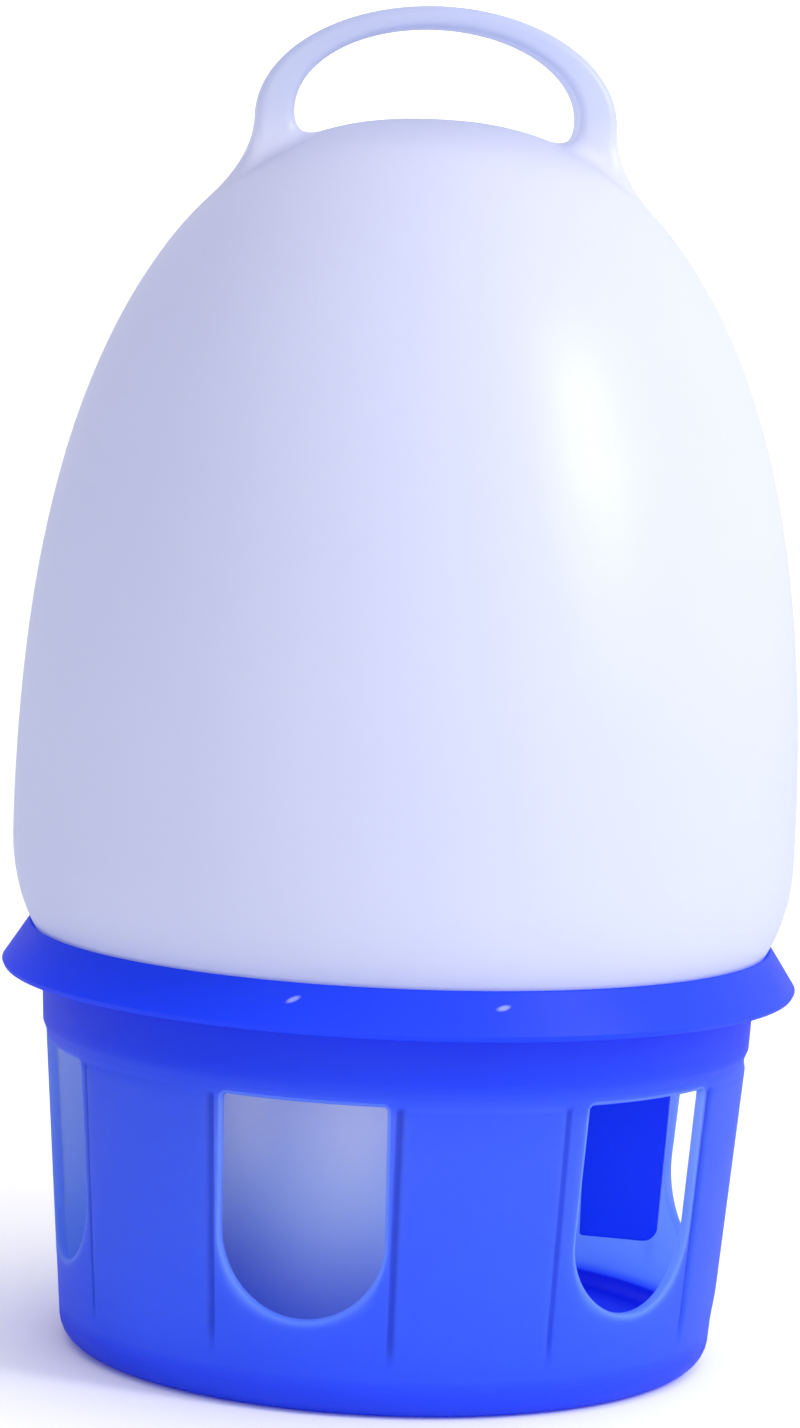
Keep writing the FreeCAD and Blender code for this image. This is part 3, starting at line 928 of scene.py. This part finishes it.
def white_plastic():
    """Satin natural-white polyethylene with a lavender cast, slightly milky."""
    material, tree, shader = new_material("white_polyethylene")
    cloud = noise_node(tree, 6.0)
    dome = ramp(tree, cloud, [(0.3, (0.715, 0.73, 0.87)), (0.7, (0.755, 0.765, 0.895))])
    # painted shade: the strap gets a darker copy of the dome's white, standing in for the shade it shows
    strap = ramp(tree, cloud, [(0.3, (0.54, 0.58, 0.75)), (0.7, (0.57, 0.61, 0.77))])
    # painted reflection and shade on the neck, by height
    neck = by_height(tree, NECK_PAINTED_LIGHT)
    height = height_of(tree)
    above_neck = fade(tree, height, *NECK_TOP)
    colour = tint(tree, fade(tree, height, *STRAP_SHADE_HEIGHTS), dome, strap)
    colour = tint(tree, above_neck, neck, colour)
    colour = wear_and_glint_streak(tree, colour, at(71.0, 2.0, 256.0), 2.0, -28.0, 7.0, 1.1, (0.60, 0.60, 0.72), 0.35)
    tree.links.new(colour, shader.inputs["Base Color"])
    rough = ramp(tree, noise_node(tree, 30.0), [(0.3, (0.34,) * 3), (0.7, (0.42,) * 3)])
    tree.links.new(rough, shader.inputs["Roughness"])
    shader.inputs["Specular IOR Level"].default_value = 1.0
    normal = bump(tree, noise_node(tree, 1100.0, 2.0), 0.00005, 0.3)
    normal = bump(tree, noise_node(tree, 30.0), 0.0008, 0.2, normal)
    tree.links.new(normal, shader.inputs["Normal"])
    glow = by_height(tree, WHITE_GLOW)
    see_through(tree, shader, glow, between(tree, above_neck, NECK_SEE_THROUGH, WHITE_SEE_THROUGH))
    return material


# ---------------------------------------------------------------- stage, lights and camera
def make_floor():
    mesh = bpy.data.meshes.new("floor")
    builder = bmesh.new()
    bmesh.ops.create_circle(builder, cap_ends=True, segments=96, radius=20.0)
    builder.to_mesh(mesh)
    builder.free()
    floor = bpy.data.objects.new("floor", mesh)
    bpy.context.scene.collection.objects.link(floor)
    material, _, shader = new_material("pale_floor")
    shader.inputs["Base Color"].default_value = (0.98, 0.98, 0.98, 1.0)
    shader.inputs["Roughness"].default_value = 0.9
    shader.inputs["Specular IOR Level"].default_value = 0.1
    mesh.materials.append(material)


def softbox(name, azimuth, elevation, distance, width, height, watts, colour):
    """An area light aimed at the drinker's middle; azimuth is from -Y towards +X."""
    target = Vector((0, 0, (cad_low.z + cad_high.z) / 2))
    turn, rise = math.radians(azimuth), math.radians(elevation)
    away = Vector((math.sin(turn) * math.cos(rise), -math.cos(turn) * math.cos(rise), math.sin(rise)))
    lamp = bpy.data.lights.new(name, "AREA")
    lamp.shape = "RECTANGLE"
    lamp.size, lamp.size_y = width, height
    lamp.energy = watts
    lamp.color = colour
    light = bpy.data.objects.new(name, lamp)
    light.location = target + away * distance
    light.rotation_mode = "QUATERNION"
    light.rotation_quaternion = away.to_track_quat("Z", "Y")
    bpy.context.scene.collection.objects.link(light)


def light_scene():
    """A white room that is dimmer towards its dark side, and one tall softbox."""
    world = bpy.data.worlds.new("studio")
    world.use_nodes = True
    tree = world.node_tree
    direction = tree.nodes.new("ShaderNodeTexCoord")
    facing = tree.nodes.new("ShaderNodeVectorMath")
    facing.operation = "DOT_PRODUCT"
    turn, rise = math.radians(DARK_SIDE_AZIMUTH), math.radians(DARK_SIDE_ELEVATION)
    dark_side = Vector((math.sin(turn) * math.cos(rise), -math.cos(turn) * math.cos(rise), math.sin(rise)))
    facing.inputs[1].default_value = dark_side
    tree.links.new(direction.outputs["Generated"], facing.inputs[0])
    colour = ramp(tree, facing.outputs["Value"], [(0.0, (1.0, 1.0, 1.0)), (1.0, DARK_SIDE_COLOUR)])
    tree.links.new(colour, tree.nodes["Background"].inputs["Color"])
    tree.nodes["Background"].inputs["Strength"].default_value = ROOM_BRIGHTNESS
    bpy.context.scene.world = world
    softbox("key_softbox", 72.0, 30.0, 1.1, 0.22, 0.52, 4.8, (1.0, 1.0, 1.0))
    bpy.context.scene.view_settings.view_transform = "Standard"


def make_camera():
    """A camera about 1.2 m away, a little above the rim, held slightly askew."""
    azimuth, distance, height = math.radians(14.15), 1.2, 0.283
    pitch, roll, yaw = 0.10188, 0.04295, -0.002
    data = bpy.data.cameras.new("camera")
    data.lens = 121.3
    data.sensor_width = 36.0
    camera = bpy.data.objects.new("camera", data)
    forward = Vector((math.sin(yaw) * math.cos(pitch), math.cos(yaw) * math.cos(pitch), -math.sin(pitch)))
    right = Vector((math.cos(yaw), -math.sin(yaw), 0))
    up = right.cross(forward)
    tilted_right = right * math.cos(roll) + up * math.sin(roll)
    tilted_up = up * math.cos(roll) - right * math.sin(roll)
    turn = Matrix.Rotation(azimuth, 3, "Z")
    axes = Matrix((turn @ tilted_right, turn @ tilted_up, -(turn @ forward))).transposed()
    place = turn @ Vector((0, -distance, height))
    camera.matrix_world = Matrix.Translation(place) @ axes.to_4x4()
    bpy.context.scene.collection.objects.link(camera)
    bpy.context.scene.camera = camera


# ---------------------------------------------------------------- build
blue = blue_plastic("blue_polypropylene", WALL_GLOW)
guide_blue = blue_plastic("blue_polypropylene_guide", GUIDE_GLOW)
white = white_plastic()
make_base_cup(blue)
make_bottle(white)
make_neck_guide(guide_blue)
make_floor()
light_scene()
make_camera()
